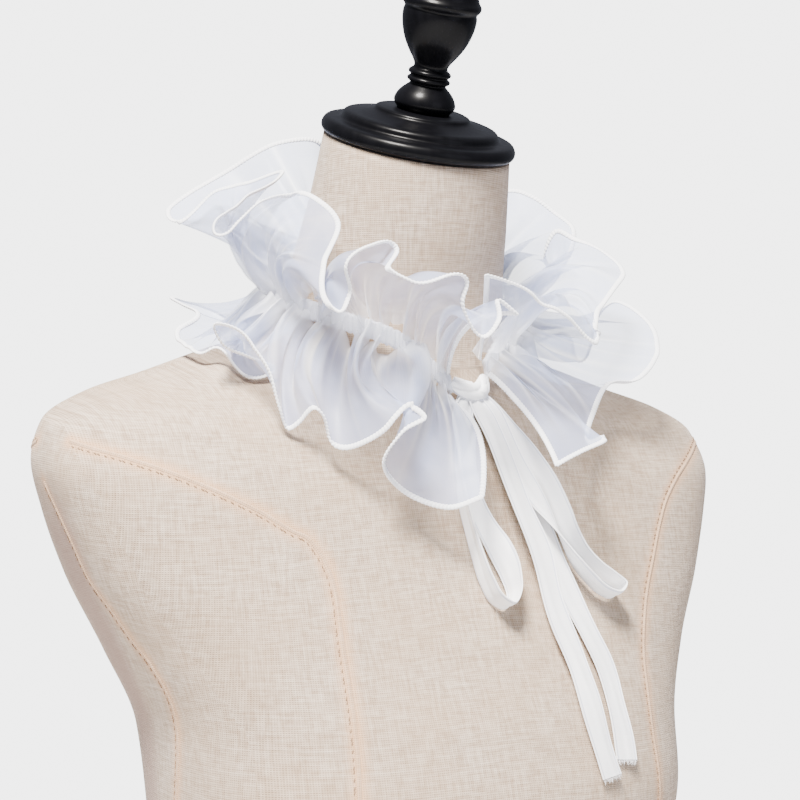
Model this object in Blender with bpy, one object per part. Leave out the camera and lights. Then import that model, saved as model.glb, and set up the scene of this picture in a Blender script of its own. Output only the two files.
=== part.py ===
"""A ruff collar on the linen dress form that it rests on.

The collar is one long strip of sheer organza, gathered along its middle into a narrow casing, so that half
of it stands up round the neck and half falls on the shoulders. A flat ribbon runs through the casing and is
tied in a bow in front. The form is a limbless torso covered in linen, with a turned wooden cap on its neck
and a finial on that.

Metres, +Z up. The form faces -Y, its own right side is at -X, and it stands on its flat base at z = 0. An
angle round the neck is 0 at the front and grows towards the form's right side.
"""

from math import cos, pi, radians, sin, tan

import bpy
import numpy as np

MM = 0.001
SEAM_GAP = 0.3 * MM  # between pieces that are sewn or seated
GATHER_GAP = 0.6 * MM  # between the casing and the cloth gathered to it

# Linen torso: one row for each section, from the base to the top of the neck.
# A section is a squared ellipse, tilted forwards so that the neck leans.
TORSO = np.array(
    [
        # height, half width, half depth, centre y, tilt in degrees, squareness
        (0.000, 0.160, 0.105, 0.000, 0, 2.3),
        (0.008, 0.168, 0.112, 0.000, 0, 2.3),
        (0.050, 0.176, 0.118, 0.000, 0, 2.3),
        (0.110, 0.172, 0.117, 0.000, 0, 2.2),
        (0.180, 0.146, 0.103, -0.002, 0, 2.15),
        (0.245, 0.124, 0.090, -0.004, 0, 2.1),
        (0.300, 0.130, 0.096, -0.008, 0, 2.1),
        (0.350, 0.140, 0.108, -0.016, 0, 2.2),
        (0.400, 0.146, 0.119, -0.022, 0, 2.3),
        (0.440, 0.149, 0.115, -0.016, 0, 2.4),
        (0.480, 0.165, 0.107, -0.006, 0, 2.5),
        (0.520, 0.185, 0.099, 0.002, 2, 2.6),
        (0.552, 0.197, 0.093, 0.006, 4, 2.6),
        (0.579, 0.204, 0.087, 0.008, 6, 2.5),
        (0.599, 0.199, 0.082, 0.010, 8, 2.3),
        (0.612, 0.178, 0.078, 0.010, 10, 2.2),
        (0.621, 0.148, 0.074, 0.010, 12, 2.1),
        (0.630, 0.119, 0.070, 0.009, 14, 2.05),
        (0.638, 0.092, 0.065, 0.007, 16, 2.0),
        (0.650, 0.0735, 0.061, 0.004, 18, 2.0),
        (0.667, 0.0635, 0.0585, 0.000, 20, 2.0),
        (0.690, 0.0585, 0.0565, -0.006, 20, 2.0),
        (0.716, 0.0550, 0.0545, -0.015, 20, 2.0),
        (0.7515, 0.0515, 0.0515, -0.0245, 20, 2.0),
    ]
)
TORSO_RINGS = 46
TORSO_SIDES = 44

# Turned neck cap and finial: one row for each edge of the profile, going up the neck's own axis.
CAP_PROFILE = [
    # radius, height, both in mm
    (50.0, 0.0),
    (53.0, 1.5),
    (54.0, 4.5),
    (52.5, 8.0),
    (50.0, 9.0),
    (45.0, 9.3),
    (43.5, 10.0),
    (43.0, 12.5),
    (41.0, 14.0),
    (36.0, 14.5),
    (29.0, 16.0),
    (26.5, 17.0),
    (26.0, 18.6),
    (24.5, 19.2),
]
FINIAL_PROFILE = [
    (14.5, 0.0),
    (17.0, 3.0),
    (16.8, 6.0),
    (14.5, 10.0),
    (10.5, 13.6),
    (9.5, 14.6),
    (11.8, 16.0),
    (11.8, 17.4),
    (9.8, 18.6),
    (11.8, 20.0),
    (11.5, 21.6),
    (9.0, 23.2),
    (9.6, 26.0),
    (14.0, 32.0),
    (17.8, 39.0),
    (20.0, 47.0),
    (20.3, 53.0),
    (19.4, 54.8),
    (21.6, 57.2),
    (21.6, 59.6),
    (19.8, 61.6),
    (18.0, 68.0),
    (13.0, 75.0),
    (7.0, 79.0),
    (5.6, 82.0),
    (8.2, 86.0),
    (8.4, 90.0),
    (6.0, 94.5),
]
CAP_SIDES = 36
FINIAL_SIDES = 24

# Neck line: where the casing runs. Ease is the slack between the linen and the casing.
NECK_LINE = np.array(
    [
        # angle, height, ease
        (-10, 0.613, 0.0030),
        (4, 0.622, 0.0050),
        (28, 0.643, 0.0070),
        (60, 0.656, 0.0050),
        (90, 0.667, 0.0030),
        (140, 0.685, 0.0010),
        (180, 0.690, 0.0004),
        (220, 0.686, 0.0010),
        (270, 0.668, 0.0030),
        (300, 0.656, 0.0040),
        (328, 0.641, 0.0050),
        (350, 0.613, 0.0030),
    ]
)
NECK_LINE_STEP = 4.0  # degrees between the points that are measured off the linen
STRIP_START, STRIP_END = 2.0, 339.0  # neck angles of the strip's two short ends, either side of the knot

CASING_HEIGHT = 11.0 * MM
CASING_THICKNESS = 4.0 * MM
CASING_PUCKER = 0.5 * MM  # how far the gathers swell it
CASING_MOST_LEAN = 0.45  # how far it leans with the linen, for its height
CASING_FLATS = (0.6, 0.4)  # share of its height and thickness that the flat sides take

RUFFLE_DEPTH = 82.0 * MM  # of the cloth, from casing to hem
CLOTH = 1.0 * MM
GATHERS = 36  # in each ruffle, between its two ends
GATHER_HEIGHT = 1.3 * MM
COLUMNS_A_GATHER = 4
DEPTH_STEPS = (0.0, 0.10, 0.28, 0.52, 0.76, 1.0)  # rows of the wall, as shares of the ruffle's depth

# Each ruffle's folds: where its hem lies, from the point of the casing that it is gathered to.
UPPER_FOLDS = np.array(
    [
        # neck angle, out from the neck, along the casing, up, in mm
        (2, 59, -8, 30),
        (5, 55, -4, 36),
        (8, 62, -8, 22),
        (12, 62, -8, 9),
        (19, 64, -11, 19),
        (23, 65, -21, 26),
        (34, 65, -19, 19),
        (39, 60, -17, 24),
        (44, 45, -30, 32),
        (48, 43, -34, 35),
        (58, 63, -43, 18),
        (63, 52, -51, 3),
        (68, 53, -61, -9),
        (73, 43, -56, -1),
        (78, 24, -50, 15),
        (84, 0, -45, 34),
        (89, -1, -38, 45),
        (94, 2, -26, 50),
        (99, 21, -29, 42),
        (104, 35, -38, 23),
        (108, 40, -38, 22),
        (112, 35, -31, 31),
        (117, 12, -15, 46),
        (122, 0, 3, 57),
        (127, 21, 17, 53),
        (132, 51, 20, 46),
        (136, 68, 4, 29),
        (142, 83, -2, 35),
        (149, 68, 0, 51),
        (163, 41, -1, 71),
        (176, 33, 5, 73),
        (188, 58, 6, 53),
        (200, 74, -6, 26),
        (214, 49, 4, 59),
        (228, 69, 14, 31),
        (240, 54, 9, 56),
        (255, 62, 8, 48),
        (261, 64, 7, 38),
        (266, 54, 4, 24),
        (271, 36, 2, 18),
        (275, 30, -3, 28),
        (279, 33, -5, 42),
        (284, 41, -4, 39),
        (297, 61, 5, 22),
        (305, 47, 29, 3),
        (313, 51, 34, -13),
        (319, 47, 36, 0),
        (331, 43, 54, 27),
        (339, 43, 56, 42),
    ]
)
LOWER_FOLDS = np.array(
    [
        # neck angle, out from the neck, along the casing, up, in mm
        (2, 49, 9, -55),
        (8, 44, 14, -65),
        (14, 41, 23, -63),
        (20, 55, 26, -54),
        (27, 60, 2, -43),
        (33, 60, -23, -39),
        (37, 52, -23, -35),
        (43, 49, -23, -50),
        (51, 44, -16, -62),
        (56, 44, -18, -60),
        (62, 49, -27, -46),
        (69, 46, -24, -59),
        (74, 50, -33, -49),
        (79, 48, -38, -31),
        (84, 52, -32, -15),
        (88, 58, -31, -12),
        (92, 49, -37, -25),
        (96, 32, -45, -31),
        (101, 14, -52, -39),
        (106, 23, -56, -46),
        (112, 33, -45, -33),
        (117, 39, -50, -37),
        (126, 54, -23, -27),
        (136, 51, -13, -17),
        (141, 71, -11, -10),
        (152, 73, 7, -16),
        (164, 61, 8, -34),
        (176, 77, -6, -11),
        (188, 62, 7, -34),
        (201, 77, -5, -8),
        (214, 65, 4, -33),
        (227, 77, -4, -14),
        (240, 63, 0, -33),
        (254, 75, 3, -16),
        (266, 71, -9, -26),
        (279, 77, -17, 11),
        (288, 82, -3, -1),
        (297, 80, -3, -15),
        (304, 69, -7, -26),
        (311, 53, -5, -25),
        (317, 49, 1, -35),
        (324, 53, 12, -51),
        (328, 64, 4, -45),
        (339, 60, 20, -47),
    ]
)
UPPER_LEAVES = 40.0  # degrees above level at which the cloth leaves the casing
LOWER_LEAVES = -35.0

# Ribbon: its knot bridges the casing's ends, and its loops and tails hang on the chest.
RIBBON_WIDTH = 13.0 * MM
RIBBON_THICKNESS = 1.0 * MM
RIBBON_STEP = 6.0 * MM  # along it, between the wall's sections
CHEST_FACING = np.array((0.04, -0.93, 0.36))  # out of the chest where the ribbon lies
KNOT = np.array(
    [
        # x, y, z of its middle, half size, all in mm
        (-0.4, -63.2, 620.6, 2.2),
        (2.2, -64.4, 618.7, 3.4),
        (6.4, -65.8, 616.6, 4.4),
        (11.0, -66.2, 616.2, 4.8),
        (15.4, -64.4, 618.6, 4.2),
        (18.6, -61.4, 622.6, 3.0),
        (20.2, -59.3, 626.0, 2.0),
    ]
)
KNOT_SIDES = 12
KNOT_FLATNESS = 0.8
RIBBON_ROUTES = {
    # x, z, lift off the linen, all in mm, and the turn in degrees, 0 where the ribbon lies flat on the chest
    "ribbon_loop_left": [
        (5, 610, 4.5, 0),
        (2, 596, 2.2, 0),
        (-2, 576, 2.2, 0),
        (-1, 560, 2.4, 0),
        (3, 547, 3.5, -10),
        (7, 534, 6.5, -40),
        (10, 521, 8.2, -70),
        (10, 512, 8.4, -85),
        (5, 506, 8.6, -90),
        (-1, 509, 8.8, -90),
        (-6, 519, 9.0, -88),
        (-9, 532, 9.0, -85),
        (-11, 547, 9.0, -80),
        (-12, 563, 9.2, -75),
        (-10, 580, 10.0, -60),
        (-4, 597, 8.6, -20),
        (4.6, 610, 7.5, 0),
    ],
    "ribbon_loop_right": [
        (20.5, 610, 4.5, 0),
        (29, 597, 2.1, 0),
        (38, 583, 3.6, -15),
        (45, 568, 6.5, -45),
        (48.5, 554, 8.0, -65),
        (51.5, 542, 8.4, -75),
        (56, 533, 8.6, -78),
        (65, 524, 8.8, -82),
        (74, 518, 8.8, -86),
        (80, 513, 8.8, -90),
        (76, 509, 8.8, -90),
        (67, 511, 8.8, -86),
        (58, 519, 8.8, -82),
        (50, 529, 10.0, -72),
        (43.5, 542, 9.6, -50),
        (36.5, 558, 6.6, -12),
        (29, 577, 5.3, 0),
        (23, 595, 5.2, 0),
        (18.5, 610, 7.5, 0),
    ],
    "ribbon_tail_back": [
        (14, 610, 6.0, 0),
        (21, 591, 3.6, 0),
        (28, 573, 3.6, 0),
        (36, 549, 3.6, 0),
        (43, 526, 3.6, 0),
        (49, 507, 3.4, 0),
        (55, 488, 3.2, 4),
        (60, 473, 3.2, 8),
        (62, 456, 3.2, 8),
        (63, 441, 3.0, 5),
        (62, 426, 2.8, 4),
    ],
    "ribbon_tail_front": [
        (11.5, 610, 9.0, 0),
        (15, 595, 7.2, 0),
        (19, 577, 8.0, 0),
        (24, 554, 9.0, 0),
        (30, 533, 8.4, 0),
        (34, 508, 6.0, 0),
        (40, 477, 5.2, 0),
        (43, 453, 4.8, 0),
        (46, 435, 4.0, 3),
        (49, 419, 3.4, 5),
    ],
}

# Finishes: colour, roughness
LINEN = ((0.78, 0.70, 0.58), 0.9)
BLACK_WOOD = ((0.012, 0.012, 0.013), 0.2)
ORGANZA = ((0.88, 0.90, 0.96), 0.6)
RIBBON = ((0.93, 0.93, 0.95), 0.7)


def monotone(xs, ys, at):
    """Values at `at` on smooth curves through the rows of ys that never overshoot a row."""
    xs, ys, at = np.asarray(xs, float), np.asarray(ys, float), np.asarray(at, float)
    step = np.diff(xs)[:, None]
    slope = np.diff(ys, axis=0) / step
    same_way = slope[:-1] * slope[1:] > 0
    mean = 2 * slope[:-1] * slope[1:] / np.where(same_way, slope[:-1] + slope[1:], 1)
    tangent = np.vstack([slope[:1], np.where(same_way, mean, 0), slope[-1:]])
    return hermite(xs, ys, tangent, at)


def smooth(xs, ys, at):
    """Values at `at` on round curves through the rows of ys."""
    xs, ys, at = np.asarray(xs, float), np.asarray(ys, float), np.asarray(at, float)
    step = np.diff(xs)[:, None]
    slope = np.diff(ys, axis=0) / step
    inner = (slope[:-1] * step[1:] + slope[1:] * step[:-1]) / (step[1:] + step[:-1])
    return hermite(xs, ys, np.vstack([slope[:1], inner, slope[-1:]]), at)


def hermite(xs, ys, tangent, at):
    row = np.clip(np.searchsorted(xs, at, side="right") - 1, 0, len(xs) - 2)
    step = (xs[row + 1] - xs[row])[:, None]
    t = (at[:, None] - xs[row][:, None]) / step
    start = ys[row] * (1 + 2 * t) * (1 - t) ** 2 + tangent[row] * step * t * (1 - t) ** 2
    end = ys[row + 1] * (3 - 2 * t) * t**2 + tangent[row + 1] * step * (t - 1) * t**2
    return start + end


def unit(v):
    return v / np.linalg.norm(v, axis=-1, keepdims=True)


def add_piece(name, points, faces, finish):
    colour, roughness = finish
    mat = bpy.data.materials.new(name)
    mat.use_nodes = True
    shader = mat.node_tree.nodes["Principled BSDF"]
    shader.inputs["Base Color"].default_value = (*colour, 1)
    shader.inputs["Roughness"].default_value = roughness
    shader.inputs["Metallic"].default_value = 0.0
    mesh = bpy.data.meshes.new(name)
    mesh.from_pydata([tuple(map(float, p)) for p in points], [], faces)
    mesh.materials.append(mat)
    mesh.shade_smooth()
    mesh.set_sharp_from_angle(angle=radians(40))
    piece = bpy.data.objects.new(name, mesh)
    bpy.context.scene.collection.objects.link(piece)


def lofted(name, rings, finish):
    """A closed solid through rings of as many points each, anticlockwise as seen from where the rings go."""
    sides = len(rings[0])
    faces = [tuple(reversed(range(sides)))]
    for k in range(len(rings) - 1):
        for i in range(sides):
            j = (i + 1) % sides
            low, high = k * sides, (k + 1) * sides
            faces.append((low + i, low + j, high + j, high + i))
    top = (len(rings) - 1) * sides
    faces.append(tuple(top + i for i in range(sides)))
    add_piece(name, np.concatenate(rings), faces, finish)


# Linen torso


def section_points(row):
    height, half_width, half_depth, centre_y, tilt, squareness = row
    turn = np.linspace(0, 2 * pi, TORSO_SIDES, endpoint=False)
    across = half_width * np.sign(np.cos(turn)) * np.abs(np.cos(turn)) ** (2 / squareness)
    back = half_depth * np.sign(np.sin(turn)) * np.abs(np.sin(turn)) ** (2 / squareness)
    lean = radians(tilt)
    return np.stack([across, centre_y + back * cos(lean), height + back * sin(lean)], axis=1)


def add_torso():
    index = np.arange(len(TORSO))
    rows = monotone(index, TORSO, np.linspace(0, len(TORSO) - 1, TORSO_RINGS))
    lofted("linen_torso", [section_points(row) for row in rows], LINEN)


def outside_linen(point):
    """Above 0 outside the torso and below 0 inside it."""
    x, y, z = point
    low, high = TORSO[0, 0], TORSO[-1, 0]
    for _ in range(30):
        middle = (low + high) / 2
        row = monotone(TORSO[:, 0], TORSO, [middle])[0]
        if middle + (y - row[3]) * tan(radians(row[4])) < z:
            low = middle
        else:
            high = middle
    across = abs(x) / row[1]
    back = abs(y - row[3]) / cos(radians(row[4])) / row[2]
    return across ** row[5] + back ** row[5] - 1


def linen_reach(start, way):
    """How far the linen is from a point inside it, that way."""
    low, high = 0.03, 0.25
    for _ in range(24):
        middle = (low + high) / 2
        if outside_linen(start + way * middle) < 0:
            low = middle
        else:
            high = middle
    return high


# Neck cap and finial


def turned(name, profile, start, sides):
    """A solid turned about the neck's own axis; start is its height on that axis."""
    lean = radians(TORSO[-1, 4])
    foot = np.array((0, TORSO[-1, 3], TORSO[-1, 0]))
    axis = np.array((0, -sin(lean), cos(lean)))
    side, front = np.array((1, 0, 0)), np.array((0, cos(lean), sin(lean)))
    turn = np.linspace(0, 2 * pi, sides, endpoint=False)[:, None]
    circle = np.cos(turn) * side + np.sin(turn) * front
    rings = [foot + axis * (start + height * MM) + circle * radius * MM for radius, height in profile]
    lofted(name, rings, BLACK_WOOD)


# Neck line, casing and ruffles


def outward(angle):
    a = np.radians(np.asarray(angle, float))
    return np.stack([-np.sin(a), -np.cos(a), np.zeros_like(a)], axis=-1)


def onward(angle):
    """Along the neck line, the way that the neck angle grows."""
    a = np.radians(np.asarray(angle, float))
    return np.stack([-np.cos(a), np.sin(a), np.zeros_like(a)], axis=-1)


def measured_neck_line():
    """Neck angles, the casing's middle at each and its way up, which follows the linen."""
    angles = np.arange(NECK_LINE[0, 0], NECK_LINE[-1, 0] + 1, NECK_LINE_STEP)
    heights, ease = monotone(NECK_LINE[:, 0], NECK_LINE[:, 1:], angles).T
    half, up = CASING_HEIGHT / 2, np.array((0, 0, 1))
    low = np.array([linen_reach(up * (h - half), w) for h, w in zip(heights, outward(angles))])
    high = np.array([linen_reach(up * (h + half), w) for h, w in zip(heights, outward(angles))])
    spread = np.clip(low - high, 0, CASING_MOST_LEAN * CASING_HEIGHT)
    reach = np.maximum(low - spread / 2, high + spread / 2) + ease + CASING_THICKNESS / 2
    middles = outward(angles) * reach[:, None]
    middles[:, 2] = heights
    ways_up = unit(np.array((0, 0, CASING_HEIGHT)) - outward(angles) * spread[:, None])
    return angles, middles, ways_up


def add_casing(neck_line):
    angles = np.linspace(STRIP_START, STRIP_END, GATHERS * 2 + 1)
    middles, ways_up = neck_line(angles)
    out = unit(np.cross(ways_up, np.gradient(middles, axis=0)))
    out *= np.sign(np.sum(out * outward(angles), axis=1))[:, None]
    high, thick = CASING_HEIGHT / 2, CASING_THICKNESS / 2
    side, edge = CASING_FLATS
    outline = [(1, -side), (1, side), (edge, 1), (-edge, 1)]
    outline += [(-a, -b) for a, b in outline]
    rings = []
    for k, middle in enumerate(middles):
        swell = CASING_PUCKER * (k % 2)
        ring = [middle + out[k] * (thick * a + swell * (a > 0)) + ways_up[k] * high * b for a, b in outline]
        rings.append(np.array(ring))
    lofted("casing", rings, ORGANZA)


def bowed(root, hem, leaves, share):
    """A point on the cloth, which bows so that it is RUFFLE_DEPTH deep however near its hem is."""
    chord = hem - root
    length = np.linalg.norm(chord, axis=-1, keepdims=True)
    sag = length * np.sqrt(0.375 * np.maximum(RUFFLE_DEPTH / length - 1, 0))
    way = chord / length
    side = leaves - way * np.sum(leaves * way, axis=-1, keepdims=True)
    side = side / (np.linalg.norm(side, axis=-1, keepdims=True) + 0.15)
    control = root + chord / 2 + side * sag * 2
    return root * (1 - share) ** 2 + control * 2 * share * (1 - share) + hem * share**2


def even_angles(neck_line, folds, above, count):
    """Neck angles at which the hem has been cut into `count` equal lengths."""
    fine = np.linspace(folds[0, 0], folds[-1, 0], 800)
    hem = hem_points(ruffle_roots(neck_line, fine, above), folds, fine)
    run = np.concatenate([[0], np.cumsum(np.linalg.norm(np.diff(hem, axis=0), axis=1))])
    return np.interp(np.linspace(0, run[-1], count + 1), run, fine)


def ruffle_roots(neck_line, angles, above):
    middles, ways_up = neck_line(angles)
    return middles + ways_up * above * (CASING_HEIGHT / 2 + GATHER_GAP + CLOTH / 2)


def hem_points(roots, folds, angles):
    out, along, up = smooth(folds[:, 0], folds[:, 1:], angles).T[:, :, None] * MM
    return roots + outward(angles) * out + onward(angles) * along + np.array((0, 0, 1)) * up


def add_ruffle(name, neck_line, folds, leaves_at):
    above = 1 if leaves_at > 0 else -1
    angles = even_angles(neck_line, folds, above, GATHERS * COLUMNS_A_GATHER)
    roots = ruffle_roots(neck_line, angles, above)
    hems = hem_points(roots, folds, angles)
    tilt = radians(leaves_at)
    leaves = outward(angles) * cos(tilt) + np.array((0, 0, sin(tilt)))
    grid = np.stack([bowed(roots, hems, leaves, share) for share in DEPTH_STEPS], axis=1)
    normal = grid_normals(grid)
    phase = np.arange(len(angles)) * 2 * pi / COLUMNS_A_GATHER
    for row, share in enumerate(DEPTH_STEPS):
        fade = min(share / 0.1, 1) * max(1 - share, 0) ** 1.5
        grid[:, row] += normal[:, row] * (GATHER_HEIGHT * fade * np.sin(phase))[:, None]
    add_wall(name, grid, CLOTH, ORGANZA)


def grid_normals(grid):
    along = np.gradient(grid, axis=0)
    deep = np.gradient(grid, axis=1)
    return unit(np.cross(along, deep))


def add_wall(name, grid, thickness, finish):
    """A closed wall of this thickness with the grid of points at its middle."""
    columns, rows = grid.shape[:2]
    half = grid_normals(grid) * thickness / 2
    points = np.concatenate([(grid + half).reshape(-1, 3), (grid - half).reshape(-1, 3)])
    back = columns * rows
    faces = []
    for i in range(columns - 1):
        for j in range(rows - 1):
            a, b, c, d = i * rows + j, (i + 1) * rows + j, (i + 1) * rows + j + 1, i * rows + j + 1
            one_way = np.linalg.norm(grid[i, j] - grid[i + 1, j + 1])
            other_way = np.linalg.norm(grid[i + 1, j] - grid[i, j + 1])
            for face in ((a, b, c), (a, c, d)) if one_way < other_way else ((a, b, d), (b, c, d)):
                faces.append(face)
                faces.append(tuple(back + v for v in reversed(face)))
    bottom = [i * rows for i in range(columns)]
    end = [(columns - 1) * rows + j for j in range(rows)]
    rim = bottom + end[1:] + [v + rows - 1 for v in reversed(bottom)][1:] + list(range(rows - 2, -1, -1))
    for a, b in zip(rim, rim[1:]):
        faces.append((b, a, back + a, back + b))
    add_piece(name, points, faces, finish)


# Ribbon


def add_knot():
    index = np.arange(len(KNOT))
    rows = smooth(index, KNOT, np.linspace(0, len(KNOT) - 1, 2 * len(KNOT) - 1)) * MM
    along = unit(np.gradient(rows[:, :3], axis=0))
    up = unit(np.cross(along, CHEST_FACING))
    out = np.cross(up, along)
    turn = np.linspace(0, 2 * pi, KNOT_SIDES, endpoint=False)[:, None]
    rings = []
    for k, row in enumerate(rows):
        rings.append(row[:3] + row[3] * (np.cos(turn) * out[k] * KNOT_FLATNESS + np.sin(turn) * up[k]))
    lofted("ribbon_knot", rings, RIBBON)


def add_ribbon(name, route):
    route = np.array(route, float)
    forward = np.array((0, -1.0, 0))
    reach = [linen_reach(np.array((x, 0, z)) * MM, forward) for x, z, _, _ in route]
    lifted = -np.array(reach) - route[:, 2] * MM
    points = np.stack([route[:, 0] * MM, lifted, route[:, 1] * MM, route[:, 3]], axis=1)
    run = np.concatenate([[0], np.cumsum(np.linalg.norm(np.diff(points[:, :3], axis=0), axis=1))])
    rows = smooth(run, points, np.linspace(0, run[-1], round(run[-1] / RIBBON_STEP) + 1))
    middles = rows[:, :3]
    along = unit(np.gradient(middles, axis=0))
    across = unit(np.cross(along, CHEST_FACING))
    facing = np.cross(across, along)
    turn = np.radians(rows[:, 3])[:, None]
    across = across * np.cos(turn) + facing * np.sin(turn)
    shares = np.array((-0.5, 0.0, 0.5))
    grid = middles[:, None] + across[:, None] * shares[None, :, None] * RIBBON_WIDTH
    add_wall(name, grid, RIBBON_THICKNESS, RIBBON)


def build():
    for old in list(bpy.data.objects):
        bpy.data.objects.remove(old, do_unlink=True)

    add_torso()
    turned("neck_cap", CAP_PROFILE, SEAM_GAP, CAP_SIDES)
    cap_top = CAP_PROFILE[-1][1] * MM
    turned("finial", FINIAL_PROFILE, cap_top + 2 * SEAM_GAP, FINIAL_SIDES)

    line_angles, middles, ways_up = measured_neck_line()

    def neck_line(angles):
        return smooth(line_angles, middles, angles), unit(smooth(line_angles, ways_up, angles))

    add_casing(neck_line)
    add_ruffle("upper_ruffle", neck_line, UPPER_FOLDS, UPPER_LEAVES)
    add_ruffle("lower_ruffle", neck_line, LOWER_FOLDS, LOWER_LEAVES)
    add_knot()
    for name, route in RIBBON_ROUTES.items():
        add_ribbon(name, route)


build()
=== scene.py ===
"""A sheer organza ruff collar with its ribbon bow, on a linen dress form with a turned black cap and finial.

Metres, +Z up. The form faces -Y, its own right side is at -X, and it stands on its flat base at z = 0. An
angle round the neck is 0 at the front and grows towards the form's right side.
"""

from math import atan, cos, pi, radians, sin

import bpy
import numpy as np
from mathutils import Matrix, Vector
from mathutils.bvhtree import BVHTree
from mathutils.kdtree import KDTree


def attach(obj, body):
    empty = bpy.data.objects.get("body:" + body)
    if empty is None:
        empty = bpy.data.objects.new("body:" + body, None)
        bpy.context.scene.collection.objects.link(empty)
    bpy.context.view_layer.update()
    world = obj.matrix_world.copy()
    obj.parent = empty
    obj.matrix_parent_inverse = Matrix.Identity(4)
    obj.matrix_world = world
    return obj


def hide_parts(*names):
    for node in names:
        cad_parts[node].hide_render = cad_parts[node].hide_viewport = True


MM = 0.001
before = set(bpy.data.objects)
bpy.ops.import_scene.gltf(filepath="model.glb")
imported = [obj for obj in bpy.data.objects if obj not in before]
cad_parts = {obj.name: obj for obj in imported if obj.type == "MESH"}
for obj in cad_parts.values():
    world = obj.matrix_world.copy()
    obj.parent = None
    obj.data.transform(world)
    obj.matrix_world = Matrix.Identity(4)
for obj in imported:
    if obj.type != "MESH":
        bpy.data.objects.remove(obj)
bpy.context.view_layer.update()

# Camera
# It stands 1.2 m from the neck, a little below the knot, and 30 degrees round towards the form's right side. Its
# long lens frames the collar and the shoulders.

CAMERA_ROUND = radians(30)
CAMERA_AWAY, CAMERA_ASIDE, CAMERA_HEIGHT = 1.2, 0.003, 0.595
SENSOR_WIDTH, FOCAL_LENGTH = 36, 97.2  # mm
PITCH = atan(32 / 2160)  # it looks up 32 pixels of an 800-pixel picture, in which its lens is 2160 long
AHEAD = np.array((sin(CAMERA_ROUND), cos(CAMERA_ROUND), 0))
RIGHT = np.array((cos(CAMERA_ROUND), -sin(CAMERA_ROUND), 0))
UP = np.array((0, 0, 1.0))
view_way = AHEAD * cos(PITCH) + UP * sin(PITCH)
view_up = np.cross(RIGHT, view_way)
camera_at = -AHEAD * CAMERA_AWAY + RIGHT * CAMERA_ASIDE + UP * CAMERA_HEIGHT

camera_data = bpy.data.cameras.new("camera")
camera_data.sensor_width = SENSOR_WIDTH
camera_data.lens = FOCAL_LENGTH
camera = bpy.data.objects.new("camera", camera_data)
camera.matrix_world = Matrix([[*(float(v[i]) for v in (RIGHT, view_up, -view_way, camera_at))] for i in range(3)]
                             + [[0, 0, 0, 1]])
bpy.context.scene.collection.objects.link(camera)
bpy.context.scene.camera = camera

# Studio
# A round white floor that the form stands on, in a white room. A wide soft light over the camera is the key,
# and a weak one on its right fills.


def add_node(tree, kind, inputs=None, **settings):
    """A shader node with these settings; an input takes a value or another node's output."""
    made = tree.nodes.new("ShaderNode" + kind)
    for key, value in settings.items():
        setattr(made, key, value)
    for key, value in (inputs or {}).items():
        if isinstance(value, bpy.types.NodeSocket):
            tree.links.new(value, made.inputs[key])
        else:
            made.inputs[key].default_value = value
    return made


def paint(hex_colour):
    """Linear red, green, blue and alpha of an sRGB hex colour."""
    parts = [int(hex_colour[i : i + 2], 16) / 255 for i in (1, 3, 5)]
    return (*(p / 12.92 if p <= 0.04045 else ((p + 0.055) / 1.055) ** 2.4 for p in parts), 1.0)


def noise(tree, scale, detail, **inputs):
    return add_node(tree, "TexNoise", {"Scale": scale, "Detail": detail, **inputs}).outputs["Fac"]


def blend(tree, share, first, second, **settings):
    """Two colours, each in hex or another node's output, mixed by the share of the second."""
    first, second = (paint(colour) if isinstance(colour, str) else colour for colour in (first, second))
    return add_node(tree, "MixRGB", {"Fac": share, "Color1": first, "Color2": second},
                    **settings).outputs[0]


def new_material(name, **constants):
    """A material and its shader, with these values set on the shader's own inputs."""
    material = bpy.data.materials.new(name)
    material.use_nodes = True
    shader = material.node_tree.nodes["Principled BSDF"]
    for key, value in constants.items():
        shader.inputs[key.replace("_", " ")].default_value = value
    return material, shader


def add_mesh(name, points, faces, material):
    mesh = bpy.data.meshes.new(name)
    mesh.from_pydata(np.asarray(points, float).reshape(-1, 3).tolist(), [], faces)
    mesh.materials.append(material)
    mesh.shade_smooth()
    piece = bpy.data.objects.new(name, mesh)
    bpy.context.scene.collection.objects.link(piece)
    return piece


def add_light(name, at, towards, size, power, colour):
    data = bpy.data.lights.new(name, "AREA")
    data.shape, data.size, data.energy, data.color = "DISK", size, power, paint(colour)[:3]
    light = bpy.data.objects.new(name, data)
    light.location = at
    light.rotation_euler = (Vector(towards) - Vector(at)).to_track_quat("-Z", "Y").to_euler()
    bpy.context.scene.collection.objects.link(light)


FLOOR_RADIUS, FLOOR_SIDES = 2.2, 96
# flat white paint: almost even, with the faintest mottle
painted_floor, floor_shader = new_material("matte white painted floor", Roughness=0.85)
tree = painted_floor.node_tree
tree.links.new(blend(tree, noise(tree, 3.0, 3.0), "#f4f4f6", "#fafafc"), floor_shader.inputs["Base Color"])
turn = np.linspace(0, 2 * pi, FLOOR_SIDES, endpoint=False)
rim = np.stack([np.cos(turn), np.sin(turn), turn * 0], axis=1) * FLOOR_RADIUS
floor = add_mesh("floor", np.concatenate([[(0, 0, 0)], rim]),
                 [(0, i + 1, (i + 1) % FLOOR_SIDES + 1) for i in range(FLOOR_SIDES)], painted_floor)

world = bpy.data.worlds.new("white room")
bpy.context.scene.world = world
world.use_nodes = True
tree = world.node_tree
tree.nodes.clear()
light_path = add_node(tree, "LightPath")
room = add_node(tree, "Background", {"Color": paint("#e6ecff"), "Strength": 0.4})
backdrop = add_node(tree, "Background", {"Color": paint("#ffffff"), "Strength": 4.6})
seen = add_node(tree, "MixShader", {0: light_path.outputs["Is Camera Ray"], 1: room.outputs[0],
                                    2: backdrop.outputs[0]})
add_node(tree, "OutputWorld", {"Surface": seen.outputs[0]})

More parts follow.
